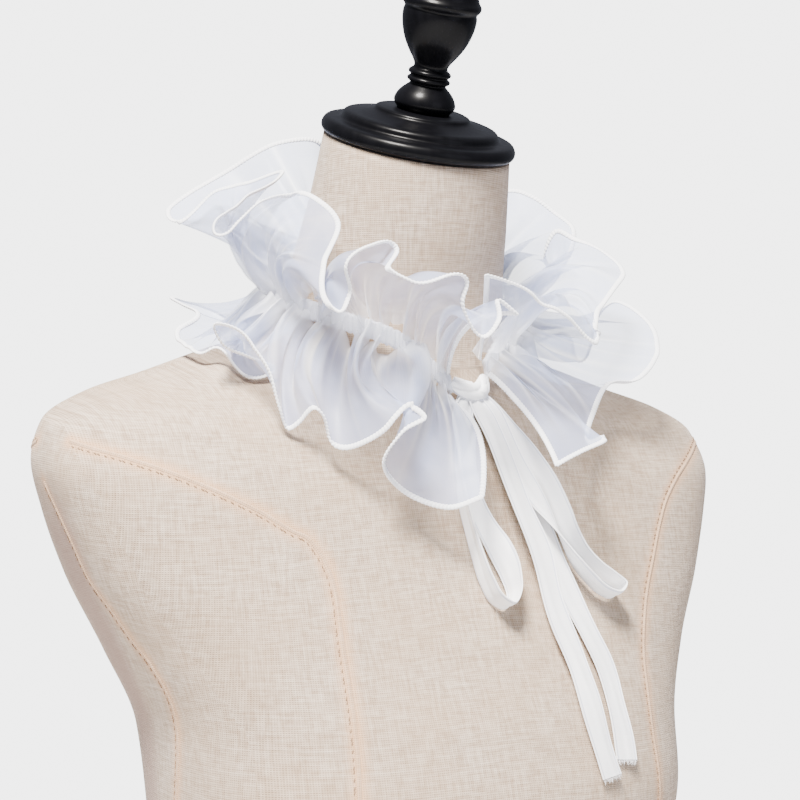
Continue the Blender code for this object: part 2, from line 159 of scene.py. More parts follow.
aim = np.array((0, -0.03, 0.60))
add_light("key", aim - AHEAD * 1.05 - RIGHT * 0.3 + UP * 1.7, aim, 0.6, 258, "#fffaf3")
add_light("fill", aim - AHEAD * 1.2 + RIGHT * 1.3 + UP * 0.3, aim, 1.2, 5, "#eef2ff")

# Linen torso
# A padded form with natural linen stretched over it. The cloth is plain woven from uneven flax thread, so that
# thicker slubs run both ways.

TORSO = np.array([
    # height, half width, half depth, centre y, tilt in degrees, squareness
    (0.000, 0.160, 0.105, 0.000, 0, 2.3), (0.008, 0.168, 0.112, 0.000, 0, 2.3),
    (0.050, 0.176, 0.118, 0.000, 0, 2.3), (0.110, 0.172, 0.117, 0.000, 0, 2.2),
    (0.180, 0.146, 0.103, -0.002, 0, 2.15), (0.245, 0.124, 0.090, -0.004, 0, 2.1),
    (0.300, 0.130, 0.096, -0.008, 0, 2.1), (0.350, 0.140, 0.108, -0.016, 0, 2.2),
    (0.400, 0.146, 0.119, -0.022, 0, 2.3), (0.440, 0.149, 0.115, -0.016, 0, 2.4),
    (0.480, 0.165, 0.107, -0.006, 0, 2.5), (0.520, 0.185, 0.099, 0.002, 2, 2.6),
    (0.552, 0.197, 0.093, 0.006, 4, 2.6), (0.579, 0.204, 0.087, 0.008, 6, 2.5),
    (0.599, 0.199, 0.082, 0.010, 8, 2.3), (0.612, 0.178, 0.078, 0.010, 10, 2.2),
    (0.621, 0.148, 0.074, 0.010, 12, 2.1), (0.630, 0.119, 0.070, 0.009, 14, 2.05),
    (0.638, 0.092, 0.065, 0.007, 16, 2.0), (0.650, 0.0735, 0.061, 0.004, 18, 2.0),
    (0.667, 0.0635, 0.0585, 0.000, 20, 2.0), (0.690, 0.0585, 0.0565, -0.006, 20, 2.0),
    (0.716, 0.0550, 0.0545, -0.015, 20, 2.0), (0.7515, 0.0515, 0.0515, -0.0245, 20, 2.0),
])
TORSO_RINGS, TORSO_SIDES = 230, 236
NECK_SEAM = 0.648  # height of the sections above which the linen is the neck's own piece
NECK_MIDDLE, NECK_RADIUS = -0.02, 0.056  # of the cylinder that the neck's threads are laid round
THREAD = 1.1 * MM  # real linen has about 0.6 mm from thread to thread, drawn coarser so that it shows
SLUB_WIDTH, SLUB_LENGTH = 1.6 * THREAD, 12 * MM
FACING_ASIDE = 0.8  # sideways part of a face's normal from which its threads run front to back


def monotone(xs, ys, at):
    """Values at `at` on smooth curves through the rows of ys that never overshoot a row."""
    xs, ys, at = np.asarray(xs, float), np.asarray(ys, float), np.asarray(at, float)
    step = np.diff(xs)[:, None]
    slope = np.diff(ys, axis=0) / step
    same_way = slope[:-1] * slope[1:] > 0
    mean = 2 * slope[:-1] * slope[1:] / np.where(same_way, slope[:-1] + slope[1:], 1)
    return hermite(xs, ys, np.vstack([slope[:1], np.where(same_way, mean, 0), slope[-1:]]), at)


def hermite(xs, ys, tangent, at):
    row = np.clip(np.searchsorted(xs, at, side="right") - 1, 0, len(xs) - 2)
    step = (xs[row + 1] - xs[row])[:, None]
    t = (at[:, None] - xs[row][:, None]) / step
    start = ys[row] * (1 + 2 * t) * (1 - t) ** 2 + tangent[row] * step * t * (1 - t) ** 2
    end = ys[row + 1] * (3 - 2 * t) * t**2 + tangent[row + 1] * step * (t - 1) * t**2
    return start + end


def loft_faces(rings, sides):
    """Faces of a tube of rings, closed at both ends."""
    faces = [tuple(reversed(range(sides)))]
    for k in range(rings - 1):
        for i in range(sides):
            j = (i + 1) % sides
            faces.append((k * sides + i, k * sides + j, (k + 1) * sides + j, (k + 1) * sides + i))
    return faces + [tuple((rings - 1) * sides + i for i in range(sides))]


def corners(piece):
    """The vertex at each corner of each face."""
    vertex = np.empty(len(piece.data.loops), int)
    piece.data.loops.foreach_get("vertex_index", vertex)
    return vertex


def lay_corners(piece, across, along):
    """A UV map in metres of cloth, given for each corner, that weaves follow."""
    piece.data.uv_layers.new(name="cloth").data.foreach_set("uv", np.stack([across, along], axis=1).ravel())


def combine(tree, operation, *values):
    return add_node(tree, "Math", dict(enumerate(values)), operation=operation).outputs[0]


def emboss(tree, shader, height, strength, distance):
    """Fine relief on a material, as high as another node's output."""
    bump = add_node(tree, "Bump", {"Height": height, "Strength": strength, "Distance": distance})
    tree.links.new(bump.outputs[0], shader.inputs["Normal"])


# plain-woven linen: a dry, matte cloth whose uneven threads catch the light and vary in colour, with old stains
woven_linen, linen_shader = new_material("plain-woven natural linen", Roughness=0.88, Sheen_Weight=0.12,
                                         Sheen_Roughness=0.5, Specular_IOR_Level=0.25)
tree = woven_linen.node_tree
cloth = add_node(tree, "UVMap", uv_map="cloth").outputs["UV"]
threads, slubs = [], []
for way, slub_size in (("X", (SLUB_WIDTH, SLUB_LENGTH)), ("Y", (SLUB_LENGTH, SLUB_WIDTH))):
    # a wave's own period is pi / 10 of its unit
    threads.append(add_node(tree, "TexWave", {"Vector": cloth, "Scale": pi / 10 / THREAD, "Distortion": 0.5,
                                              "Detail": 1.0, "Detail Scale": 0.35},
                            bands_direction=way).outputs["Fac"])
    stretched = add_node(tree, "Mapping", {"Vector": cloth, "Scale": (1 / slub_size[0], 1 / slub_size[1], 1)})
    slubs.append(noise(tree, 1.0, 2.0, Vector=stretched.outputs[0], Roughness=0.55))
weave = combine(tree, "MAXIMUM", *threads)
both = combine(tree, "ADD", *slubs)
uneven = add_node(tree, "MapRange", {"Value": both, "From Min": 0.75, "From Max": 1.25})
stained = add_node(tree, "MapRange", {"Value": noise(tree, 26.0, 3.0, Vector=cloth), "From Min": 0.3,
                                      "From Max": 0.75, "To Max": 0.5})
tape = add_node(tree, "Attribute", attribute_name="seam tape")
# painted shade under each arm, given as a darker, pinker linen
underarm_shade = add_node(tree, "Attribute", attribute_name="painted underarm shade")
grooves = add_node(tree, "MapRange", {"Value": weave, "From Min": 0.3, "To Min": 0.66})
colour = blend(tree, uneven.outputs[0], "#a9937f", "#d2c0ae")
colour = blend(tree, stained.outputs[0], colour, "#ba9f82")
colour = blend(tree, tape.outputs["Fac"], colour, "#dfae80")
# the painted shade under each arm
colour = blend(tree, underarm_shade.outputs["Fac"], colour, "#a18375")
colour = blend(tree, 1.0, colour, grooves.outputs[0], blend_type="MULTIPLY")
tree.links.new(colour, linen_shader.inputs["Base Color"])
emboss(tree, linen_shader, combine(tree, "ADD", both, weave), 0.6, 0.25 * MM)

index = np.arange(len(TORSO))
sections = monotone(index, TORSO, np.linspace(0, len(TORSO) - 1, TORSO_RINGS))
turn = np.linspace(0, 2 * pi, TORSO_SIDES, endpoint=False)
rings = []
for height, half_width, half_depth, centre_y, tilt, squareness in sections:
    across = half_width * np.sign(np.cos(turn)) * np.abs(np.cos(turn)) ** (2 / squareness)
    back = half_depth * np.sign(np.sin(turn)) * np.abs(np.sin(turn)) ** (2 / squareness)
    lean = radians(tilt)
    rings.append(np.stack([across, centre_y + back * cos(lean), height + back * sin(lean)], axis=1))
rings = np.array(rings)
torso = add_mesh("linen_cover", rings, loft_faces(TORSO_RINGS, TORSO_SIDES), woven_linen)
linen_tree = BVHTree.FromPolygons([tuple(p) for p in rings.reshape(-1, 3).tolist()],
                                  [tuple(f.vertices) for f in torso.data.polygons])

# the panels' threads run level and upright, the neck's run round it
points = rings.reshape(-1, 3)
upward = np.concatenate([[np.zeros(TORSO_SIDES)], np.cumsum(np.linalg.norm(np.diff(rings, axis=0), axis=2),
                                                            axis=0)]).ravel()
round_neck = np.arctan2(points[:, 1] - NECK_MIDDLE, points[:, 0]) * NECK_RADIUS
on_neck = np.repeat(sections[:, 0] > NECK_SEAM, TORSO_SIDES)
corner = corners(torso)
faces = torso.data.polygons
facing = np.repeat([face.normal[:] for face in faces], [len(face.vertices) for face in faces], axis=0)
across = np.where(on_neck[corner], round_neck[corner],
                  np.where(np.abs(facing[:, 0]) > FACING_ASIDE, points[corner, 1], points[corner, 0]))
lay_corners(torso, across, np.where(on_neck, points[:, 2], upward)[corner])

# Seams of the linen cover
# The panels meet in felled seams with a raised edge and a row of small stitches, over a peach cotton tape
# that shows through the linen.

SEAMS = {
    # neck angle and height along each seam of the cover
    "princess_right": [(86, 0.5905), (81, 0.586), (77, 0.582), (70.5, 0.574), (63, 0.5627), (58, 0.5547),
                       (53, 0.546), (49, 0.540), (44, 0.520), (41, 0.490), (37, 0.440), (36, 0.38),
                       (36, 0.30), (37, 0.22), (38, 0.12), (38, 0.004)],
    "princess_left": [(-86, 0.5905), (-79, 0.5863), (-70, 0.5734), (-64, 0.5597), (-60, 0.546), (-55, 0.526),
                      (-48, 0.500), (-42, 0.470), (-38, 0.430), (-36, 0.36), (-36, 0.30), (-37, 0.22),
                      (-38, 0.12), (-38, 0.004)],
    "side_right": [(92, 0.570), (88.4, 0.541), (87, 0.5213), (83.8, 0.506), (81, 0.490), (77.5, 0.476),
                   (75.3, 0.4535), (78, 0.40), (84, 0.34), (88, 0.28), (90, 0.20), (90, 0.10), (90, 0.004)],
    "side_left": [(-92, 0.570), (-88.5, 0.541), (-86.5, 0.521), (-84, 0.506), (-81, 0.489), (-78, 0.474),
                  (-76, 0.452), (-78, 0.40), (-84, 0.34), (-88, 0.28), (-90, 0.20), (-90, 0.10), (-90, 0.004)],
    "back_right": [(95, 0.5905), (104, 0.584), (115, 0.570), (127, 0.552), (134, 0.52), (139, 0.46),
                   (143, 0.38), (145, 0.28), (143, 0.16), (141, 0.004)],
    "back_left": [(-95, 0.5905), (-105, 0.583), (-115, 0.571), (-126, 0.552), (-134, 0.52), (-140, 0.46),
                  (-143, 0.38), (-145, 0.28), (-143, 0.16), (-141, 0.004)],
}
WELT_WIDTH, WELT_HEIGHT = 2.4 * MM, 0.5 * MM
STITCH_LENGTH, STITCH_PITCH, STITCH_RADIUS = 1.9 * MM, 3.4 * MM, 0.33 * MM
STITCH_ASIDE, STITCH_ABOVE, STITCH_SLANT = 2.3 * MM, 0.12 * MM, 0.25  # from the seam's line
STITCH_SIDES = 6
TAPE_WIDTH, TAPE_SHOWS, TAPE_SHOWS_IN_WELT = 4 * MM, 0.8, 0.45
UNDER_ARM, UNDER_ARM_FADE = (84, 100), 5  # neck angles of the painted shade under each arm, which darkens the linen and makes it pinker, and where it fades
UNDER_ARM_TOP, UNDER_ARM_TOP_FADE = 0.575, 0.03
UNDER_ARM_SHOWS = 0.8
SEAM_STEP = 2 * MM


def smooth(xs, ys, at):
    """Values at `at` on round curves through the rows of ys."""
    xs, ys, at = np.asarray(xs, float), np.asarray(ys, float), np.asarray(at, float)
    step = np.diff(xs)[:, None]
    slope = np.diff(ys, axis=0) / step
    inner = (slope[:-1] * step[1:] + slope[1:] * step[:-1]) / (step[1:] + step[:-1])
    return hermite(xs, ys, np.vstack([slope[:1], inner, slope[-1:]]), at)


def unit(v):
    return v / np.maximum(np.linalg.norm(v, axis=-1, keepdims=True), 1e-12)


def runs(points):
    """Distance along the points."""
    return np.concatenate([[0], np.cumsum(np.linalg.norm(np.diff(points, axis=0), axis=1))])


def lay_cloth(piece, across, along):
    """A UV map in metres of cloth, given for each vertex."""
    corner = corners(piece)
    lay_corners(piece, across[corner], along[corner])


def mark(piece, name, values):
    """A value for each vertex, which materials read by its name."""
    piece.data.attributes.new(name, "FLOAT", "POINT").data.foreach_set("value", values)


def outward(angle):
    """Level, away from the middle of the neck."""
    a = np.radians(np.asarray(angle, float))
    return np.stack([-np.sin(a), -np.cos(a), np.zeros_like(a)], axis=-1)


def linen_reach(start, way):
    """How far the linen is from a point inside it, that way."""
    return linen_tree.ray_cast(Vector(start), Vector(way))[3]


def strip_faces(columns, rows, first=0):
    """Faces of an open sheet of columns by rows points."""
    faces = []
    for i in range(columns - 1):
        for j in range(rows - 1):
            a = first + i * rows + j
            faces.append((a, a + rows, a + rows + 1, a + 1))
    return faces


seam_lines = {}
for name, rows in SEAMS.items():
    rows = np.array(rows, float)
    at = np.linspace(0, len(rows) - 1, 400)
    fine = smooth(np.arange(len(rows)), rows, at)
    line = np.array([np.array((0, 0, h)) + way * linen_reach((0, 0, h), way)
                     for h, way in zip(fine[:, 1], outward(fine[:, 0]))])
    run = runs(line)
    even = np.linspace(0, run[-1], int(run[-1] / SEAM_STEP))
    seam_lines[name] = smooth(run, line, even)

tree_of_seams = KDTree(sum(len(line) for line in seam_lines.values()))
for number, point in enumerate(np.concatenate(list(seam_lines.values()))):
    tree_of_seams.insert(Vector(point), number)
tree_of_seams.balance()
away = np.array([tree_of_seams.find(Vector(p))[2] for p in points])
mark(torso, "seam tape", TAPE_SHOWS * np.exp(-((away / TAPE_WIDTH) ** 2)))
# painted shade: the linen under each arm, below the shoulders, is darkened and made pinker, fading at its edges
angle_of = np.degrees(np.arctan2(np.abs(points[:, 0]), -points[:, 1]))
under_arm = np.clip((angle_of - UNDER_ARM[0]) / UNDER_ARM_FADE, 0, 1)
under_arm *= np.clip((UNDER_ARM[1] - angle_of) / UNDER_ARM_FADE, 0, 1)
low_enough = np.clip((UNDER_ARM_TOP - points[:, 2]) / UNDER_ARM_TOP_FADE, 0, 1)
mark(torso, "painted underarm shade", UNDER_ARM_SHOWS * under_arm * low_enough)

welt_points, welt_faces, welt_across, welt_along = [], [], [], []
stitch_points, stitch_faces = [], []
# place across the welt and height, as shares of its own, then place along a stitch and thickness
profile = np.array([(-0.5, -0.1), (-0.3, 0.75), (0.0, 1.0), (0.3, 0.75), (0.5, -0.1)])
stitch_profile = ((-0.5, 0.45), (-0.3, 1.0), (0.3, 1.0), (0.5, 0.45))
for line in seam_lines.values():
    along = unit(np.gradient(line, axis=0))
    out = unit(np.array([linen_tree.find_nearest(Vector(p))[1][:] for p in line]))
    side = unit(np.cross(along, out))
    first = len(welt_points) * len(profile)
    for k, point in enumerate(line):
        welt_points.append([point + side[k] * a * WELT_WIDTH + out[k] * b * WELT_HEIGHT for a, b in profile])
    welt_faces += strip_faces(len(line), len(profile), first)
    welt_across += list(profile[:, 0] * WELT_WIDTH) * len(line)
    welt_along += list(np.repeat(runs(line), len(profile)))
    run = runs(line)
    for at in np.arange(3 * MM, run[-1] - 4 * MM, STITCH_PITCH):
        k = int(np.searchsorted(run, at))
        middle = line[k] + side[k] * STITCH_ASIDE + out[k] * STITCH_ABOVE
        way = unit(along[k] + side[k] * STITCH_SLANT)
        start = len(stitch_points)
        for place, thick in stitch_profile:
            for t in np.arange(STITCH_SIDES) * 2 * pi / STITCH_SIDES:
                spoke = cos(t) * side[k] + sin(t) * out[k]
                stitch_points.append(middle + way * place * STITCH_LENGTH + spoke * thick * STITCH_RADIUS)
        stitch_faces += [tuple(start + v for v in face) for face in loft_faces(len(stitch_profile), STITCH_SIDES)]
seams = add_mesh("linen_seams", np.concatenate(welt_points), welt_faces, woven_linen)
lay_cloth(seams, np.array(welt_across), np.array(welt_along))
mark(seams, "seam tape", np.full(len(seams.data.vertices), TAPE_SHOWS_IN_WELT))

# tan cotton sewing thread: twisted and slightly shiny
tan_thread, thread_shader = new_material("twisted tan cotton thread", Roughness=0.6, Sheen_Weight=0.2)
tree = tan_thread.node_tree
tree.links.new(blend(tree, noise(tree, 900.0, 1.0), "#6b5038", "#a5835f"), thread_shader.inputs["Base Color"])
stitches = add_mesh("linen_seam_stitches", stitch_points, stitch_faces, tan_thread)
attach(torso, "root")
seams.parent = torso
stitches.parent = torso
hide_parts("linen_torso")

# Neck cap and finial
# Both are turned from close-grained wood and lacquered black. The cap closes the neck, and the finial stands
# in a hole in it.

# radius and height along each profile, in mm
CAP_PROFILE = [(50.0, 0.0), (53.0, 1.5), (54.0, 4.5), (52.5, 8.0), (50.0, 9.0), (45.0, 9.3), (43.5, 10.0),
               (43.0, 12.5), (41.0, 14.0), (36.0, 14.5), (29.0, 16.0), (26.5, 17.0), (26.0, 18.6), (24.5, 19.2)]
FINIAL_PROFILE = [(14.5, 0.0), (17.0, 3.0), (16.8, 6.0), (14.5, 10.0), (10.5, 13.6), (9.5, 14.6), (11.8, 16.0),
                  (11.8, 17.4), (9.8, 18.6), (11.8, 20.0), (11.5, 21.6), (9.0, 23.2), (9.6, 26.0),
                  (14.0, 32.0), (17.8, 39.0), (20.0, 47.0), (20.3, 53.0), (19.4, 54.8), (21.6, 57.2),
                  (21.6, 59.6), (19.8, 61.6), (18.0, 68.0), (13.0, 75.0), (7.0, 79.0), (5.6, 82.0),
                  (8.2, 86.0), (8.4, 90.0), (6.0, 94.5)]
TURNED_SIDES = 120
SEAM_GAP = 0.3 * MM


def eased(profile, times):
    """The profile with its corners cut, so that its edges are soft."""
    line = np.array(profile, float)
    for _ in range(times):
        low, high = line[:-1] * 0.75 + line[1:] * 0.25, line[:-1] * 0.25 + line[1:] * 0.75
        line = np.concatenate([line[:1], np.stack([low, high], axis=1).reshape(-1, 2), line[-1:]])
    return line


def add_turned(name, profile, start, material):
    lean = radians(TORSO[-1, 4])
    foot = np.array((0, TORSO[-1, 3], TORSO[-1, 0]))
    axis = np.array((0, -sin(lean), cos(lean)))
    side, front = np.array((1, 0, 0)), np.array((0, cos(lean), sin(lean)))
    turn = np.linspace(0, 2 * pi, TURNED_SIDES, endpoint=False)[:, None]
    circle = np.cos(turn) * side + np.sin(turn) * front
    line = eased(profile, 2) * MM
    rings = [foot + axis * (start + height) + circle * radius for radius, height in line]
    piece = add_mesh(name, rings, loft_faces(len(line), TURNED_SIDES), material)
    piece.data.set_sharp_from_angle(angle=radians(50))
    return piece


# black lacquer over turned beech: a deep black satin, whose fine grain ripples the highlights a little
black_lacquer, lacquer_shader = new_material("black lacquered turned beech", Coat_Weight=0.06, Coat_Roughness=0.15,
                                             Specular_IOR_Level=0.06)
tree = black_lacquer.node_tree
place = add_node(tree, "TexCoord").outputs["Object"]
grain_scale = add_node(tree, "Mapping", {"Vector": place, "Scale": (260, 260, 30)})
grain = noise(tree, 1.0, 3.0, Vector=grain_scale.outputs[0])
tree.links.new(blend(tree, grain, "#040405", "#09090c"), lacquer_shader.inputs["Base Color"])
gloss = add_node(tree, "MapRange", {"Value": grain, "To Min": 0.26, "To Max": 0.42})
tree.links.new(gloss.outputs[0], lacquer_shader.inputs["Roughness"])
emboss(tree, lacquer_shader, grain, 0.12, 0.2 * MM)

cap = add_turned("turned_cap", CAP_PROFILE, SEAM_GAP, black_lacquer)
finial = add_turned("turned_finial", FINIAL_PROFILE, CAP_PROFILE[-1][1] * MM + 2 * SEAM_GAP, black_lacquer)
for piece, node, slot in ((cap, "neck_cap", "cap_wood"), (finial, "finial", "finial_wood")):
    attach(piece, "root")
    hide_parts(node)

# Casing
# The organza strip is gathered along its middle into a narrow channel, where its many layers bunch up nearly
# opaque. Its real stitches are lost among the gathers, so none are drawn.

# neck angle, height and ease off the linen
NECK_LINE = np.array([(-10, 0.613, 0.0030), (4, 0.622, 0.0050), (28, 0.643, 0.0070), (60, 0.656, 0.0050),
                      (90, 0.667, 0.0030), (140, 0.685, 0.0010), (180, 0.690, 0.0004), (220, 0.686, 0.0010),
                      (270, 0.668, 0.0030), (300, 0.656, 0.0040), (328, 0.641, 0.0050), (350, 0.613, 0.0030)])
STRIP_START, STRIP_END = 2.0, 339.0  # neck angles of the strip's two short ends
NECK_LINE_STEP = 4.0  # degrees from one measured place to the next
CASING_HEIGHT, CASING_THICKNESS = 11 * MM, 4 * MM
CASING_MOST_LEAN = 0.45  # how far it leans with the linen, for its height
CASING_STEP, CASING_SIDES = 0.4 * MM, 32
CASING_SQUARENESS = 0.6  # 1 for an oval section, 0 for a box
PUCKER = 3.6 * MM  # from one gather to the next
PUCKER_OUT, PUCKER_UP = 0.34, 0.07  # how much the gathers change its thickness and height
PUCKERS = [
    # share of the pitch, strength and twist of each kind of gather
    (1.0, 0.5, 0.9), (0.63, 0.35, -1.6), (1.55, 0.45, 1.8), (0.41, 0.2, 2.7),
]
FULLNESS = 2.8  # cloth in the casing for its length
CASING_GIRTH = 8 * pi * MM
dice = np.random.default_rng(11)


def measured_neck_line():
    """Neck angles, the casing's middle at each and its way up, which follows the linen."""
    angles = np.arange(NECK_LINE[0, 0], NECK_LINE[-1, 0] + 1, NECK_LINE_STEP)
    heights, ease = monotone(NECK_LINE[:, 0], NECK_LINE[:, 1:], angles).T
    half = CASING_HEIGHT / 2
    low = np.array([linen_reach((0, 0, h - half), w) for h, w in zip(heights, outward(angles))])
    high = np.array([linen_reach((0, 0, h + half), w) for h, w in zip(heights, outward(angles))])
    spread = np.clip(low - high, 0, CASING_MOST_LEAN * CASING_HEIGHT)
    reach = np.maximum(low - spread / 2, high + spread / 2) + ease + CASING_THICKNESS / 2
    middles = outward(angles) * reach[:, None]
    middles[:, 2] = heights
    ways_up = unit(np.array((0, 0, CASING_HEIGHT)) - outward(angles) * spread[:, None])
    return angles, middles, ways_up


line_angles, line_middles, line_ways_up = measured_neck_line()


def neck_line(angles):
    """The casing's middle and its way up at these neck angles."""
    return smooth(line_angles, line_middles, angles), unit(smooth(line_angles, line_ways_up, angles))


def organza_material(name, alpha, light, dark, gathered=0.0):
    """Stiff sheer organza: a thin film of bluish white that shows what lies behind it, with a silky glint. It is
    whiter where gathers lay it in layers, and carries a painted highlight along the folds of its gathers."""
    material, shader = new_material(name, Roughness=0.38, Sheen_Weight=1.0, Sheen_Roughness=0.25,
                                    Specular_IOR_Level=0.3, Alpha=alpha)
    tree = material.node_tree
    cloth = add_node(tree, "UVMap", uv_map="cloth").outputs["UV"]
    # real organza has 0.25 mm from thread to thread, drawn at 0.9 mm so that it shows
    threads = [add_node(tree, "TexWave", {"Vector": cloth, "Scale": pi / 10 / (0.9 * MM)},
                        bands_direction=way).outputs["Fac"] for way in "XY"]
    cloudy = noise(tree, 60.0, 2.0, Vector=cloth)
    weave = combine(tree, "MULTIPLY_ADD", combine(tree, "MAXIMUM", *threads), 0.35, cloudy)
    depth = add_node(tree, "SeparateXYZ", {0: cloth}).outputs["Y"]
    crowded = add_node(tree, "MapRange", {"Value": depth, "From Max": 22 * MM, "To Min": gathered, "To Max": 0.0},
                       interpolation_type="SMOOTHSTEP")
    # painted highlight along the gathers' folds, whitening the cloth there
    fold_highlight = add_node(tree, "Attribute", attribute_name="painted fold highlight")
    layered_and_highlit = combine(tree, "MAXIMUM", fold_highlight.outputs["Fac"], crowded.outputs[0])
    tree.links.new(blend(tree, layered_and_highlit, blend(tree, weave, dark, light), "#fbfcff"), shader.inputs["Base Color"])
    emboss(tree, shader, weave, 0.15, 0.1 * MM)
    return material


bunched_organza = organza_material("gathered organza in many layers", 0.82, "#f1f3fb", "#d9deee")

angles = np.linspace(STRIP_START, STRIP_END, 900)
casing_run = runs(neck_line(angles)[0])
even = np.linspace(0, casing_run[-1], int(casing_run[-1] / CASING_STEP))
angles = np.interp(even, casing_run, angles)
middles, ways_up = neck_line(angles)
out = unit(np.cross(ways_up, np.gradient(middles, axis=0)))
out *= np.sign(np.sum(out * outward(angles), axis=1))[:, None]
turn = np.linspace(0, 2 * pi, CASING_SIDES, endpoint=False)
across = np.sign(np.cos(turn)) * np.abs(np.cos(turn)) ** CASING_SQUARENESS
upright = np.sign(np.sin(turn)) * np.abs(np.sin(turn)) ** CASING_SQUARENESS
wander = np.cumsum(dice.normal(0, 0.22, len(even)))
pucker = 0
for pitch, size, twist in PUCKERS:
    slant = twist * np.sin(turn + size * 7) + 0.8 * np.sin(2 * turn + twist)
    pucker = pucker + size * np.sin((even * 2 * pi / (PUCKER * pitch) + wander * pitch)[:, None] + slant[None, :])
swell = 0.9 + 0.12 * np.sin(even * 2 * pi / 0.043 + 1) + 0.08 * np.sin(even * 2 * pi / 0.017)
size_out = (CASING_THICKNESS / 2 * swell[:, None] * (1 + PUCKER_OUT * pucker)) * across
size_up = CASING_HEIGHT / 2 * (0.94 + PUCKER_UP * pucker) * upright
size_out = np.where(across < 0, np.maximum(size_out, -CASING_THICKNESS / 2), size_out)
rings = middles[:, None] + out[:, None] * size_out[..., None] + ways_up[:, None] * size_up[..., None]
casing = add_mesh("gathered_casing", rings[:, ::-1], loft_faces(len(even), CASING_SIDES), bunched_organza)
lay_cloth(casing, np.repeat(even * FULLNESS, CASING_SIDES), np.tile(turn / (2 * pi) * CASING_GIRTH, len(even)))
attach(casing, "root")
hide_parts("casing")

# Ruffles
# Half of the strip stands up round the neck and half falls on the shoulders. Gathers crowd the cloth at the
# casing and open into a few big folds at the hem, which the rows below place.

RUFFLE_DEPTH = 82 * MM
ROOT_TUCK = 1.3 * MM  # how far its top edge is hidden among the casing's gathers
UPPER_FOLDS = np.array([
    # neck angle, out from the neck, along the casing, up, in mm
    (2, 59, -8, 30), (5, 55, -4, 36), (8, 62, -8, 22), (12, 62, -8, 9), (19, 64, -11, 19), (23, 65, -21, 26),
    (34, 65, -19, 19), (39, 60, -17, 24), (44, 45, -30, 32), (48, 43, -34, 35), (58, 63, -43, 18),
    (63, 52, -51, 3), (68, 53, -61, -9), (73, 43, -56, -1), (78, 24, -50, 15), (84, 0, -45, 34),
    (89, -1, -38, 45), (94, 2, -26, 50), (99, 21, -29, 42), (104, 35, -38, 23), (108, 40, -38, 22),
    (112, 35, -31, 31), (117, 12, -15, 46), (122, 0, 3, 57), (127, 21, 17, 53), (132, 51, 20, 46),
    (136, 68, 4, 29), (142, 83, -2, 35), (149, 68, 0, 51), (163, 41, -1, 71), (176, 33, 5, 73), (188, 58, 6, 53),
    (200, 74, -6, 26), (214, 49, 4, 59), (228, 69, 14, 31), (240, 54, 9, 56), (255, 62, 8, 48), (261, 64, 7, 38),
    (266, 54, 4, 24), (271, 36, 2, 18), (275, 30, -3, 28), (279, 33, -5, 42), (284, 41, -4, 39),
    (297, 61, 5, 22), (305, 47, 29, 3), (313, 51, 34, -13), (319, 47, 36, 0), (331, 43, 54, 27),
    (339, 43, 56, 42),
])
LOWER_FOLDS = np.array([
    # the same
    (2, 49, 9, -55), (8, 44, 14, -65), (14, 41, 23, -63), (20, 55, 26, -54), (27, 60, 2, -43),
    (33, 60, -23, -39), (37, 52, -23, -35), (43, 49, -23, -50), (51, 44, -16, -62), (56, 44, -18, -60),
    (62, 49, -27, -46), (69, 46, -24, -59), (74, 50, -33, -49), (79, 48, -38, -31), (84, 52, -32, -15),
    (88, 58, -31, -12), (92, 49, -37, -25), (96, 32, -45, -31), (101, 14, -52, -39), (106, 23, -56, -46),
    (112, 33, -45, -33), (117, 39, -50, -37), (126, 54, -23, -27), (136, 51, -13, -17), (141, 71, -11, -10),
    (152, 73, 7, -16), (164, 61, 8, -34), (176, 77, -6, -11), (188, 62, 7, -34), (201, 77, -5, -8),
    (214, 65, 4, -33), (227, 77, -4, -14), (240, 63, 0, -33), (254, 75, 3, -16), (266, 71, -9, -26),
    (279, 77, -17, 11), (288, 82, -3, -1), (297, 80, -3, -15), (304, 69, -7, -26), (311, 53, -5, -25),
    (317, 49, 1, -35), (324, 53, 12, -51), (328, 64, 4, -45), (339, 60, 20, -47),
])
UPPER_LEAVES, LOWER_LEAVES = 40.0, -35.0  # degrees from level at which the cloth leaves the casing
RUFFLE_COLUMNS, RUFFLE_ROWS = 1300, 36
FIXED_ROWS = 3  # rows at the casing that stay where they are
CLEARANCE = 1.2 * MM  # that the rest keeps off the linen
THINNEST_FOLD = 0.8 * MM  # of the white painted highlight along a gather's fold
GATHERS = [
    # cloth that each takes up, least and most height, all in mm, and the shares of the depth where they die out
    (9, 0.9, 2.0, 0.10, 0.30), (19, 2.2, 5.2, 0.20, 0.70), (46, 4.0, 8.5, 0.45, 0.95),
]
UPPER_CREASES = [
    # neck angle, half width and height in mm, and the share of the depth where it dies out
    (9, 6.5, 3.5, 0.8), (16, 5.2, -3.1, 0.6), (29, 9.1, 4.0, 0.9), (36, 5.2, -3.5, 0.55), (53, 9.1, 3.7, 0.85),
    (61, 6.5, -2.9, 0.7), (81, 7.8, 3.5, 0.8), (97, 7.8, -3.3, 0.75), (114, 6.5, 3.3, 0.7),
    (130, 7.8, -3.5, 0.7), (146, 9.1, 4.0, 0.85), (157, 7.8, -3.3, 0.6), (170, 9.1, 4.0, 0.85),
    (183, 6.5, -3.3, 0.6), (194, 9.1, 3.7, 0.8), (207, 7.8, -3.5, 0.65), (221, 9.1, 4.0, 0.85),
    (235, 6.5, -3.3, 0.6), (247, 9.1, 3.7, 0.8), (259, 6.5, -3.1, 0.6), (272, 7.8, 3.5, 0.8),
    (290, 9.1, -3.5, 0.7), (301, 6.5, 3.3, 0.7), (309, 7.8, -3.1, 0.65), (326, 9.1, 3.5, 0.8),
    (334, 6.5, -2.9, 0.6),
]
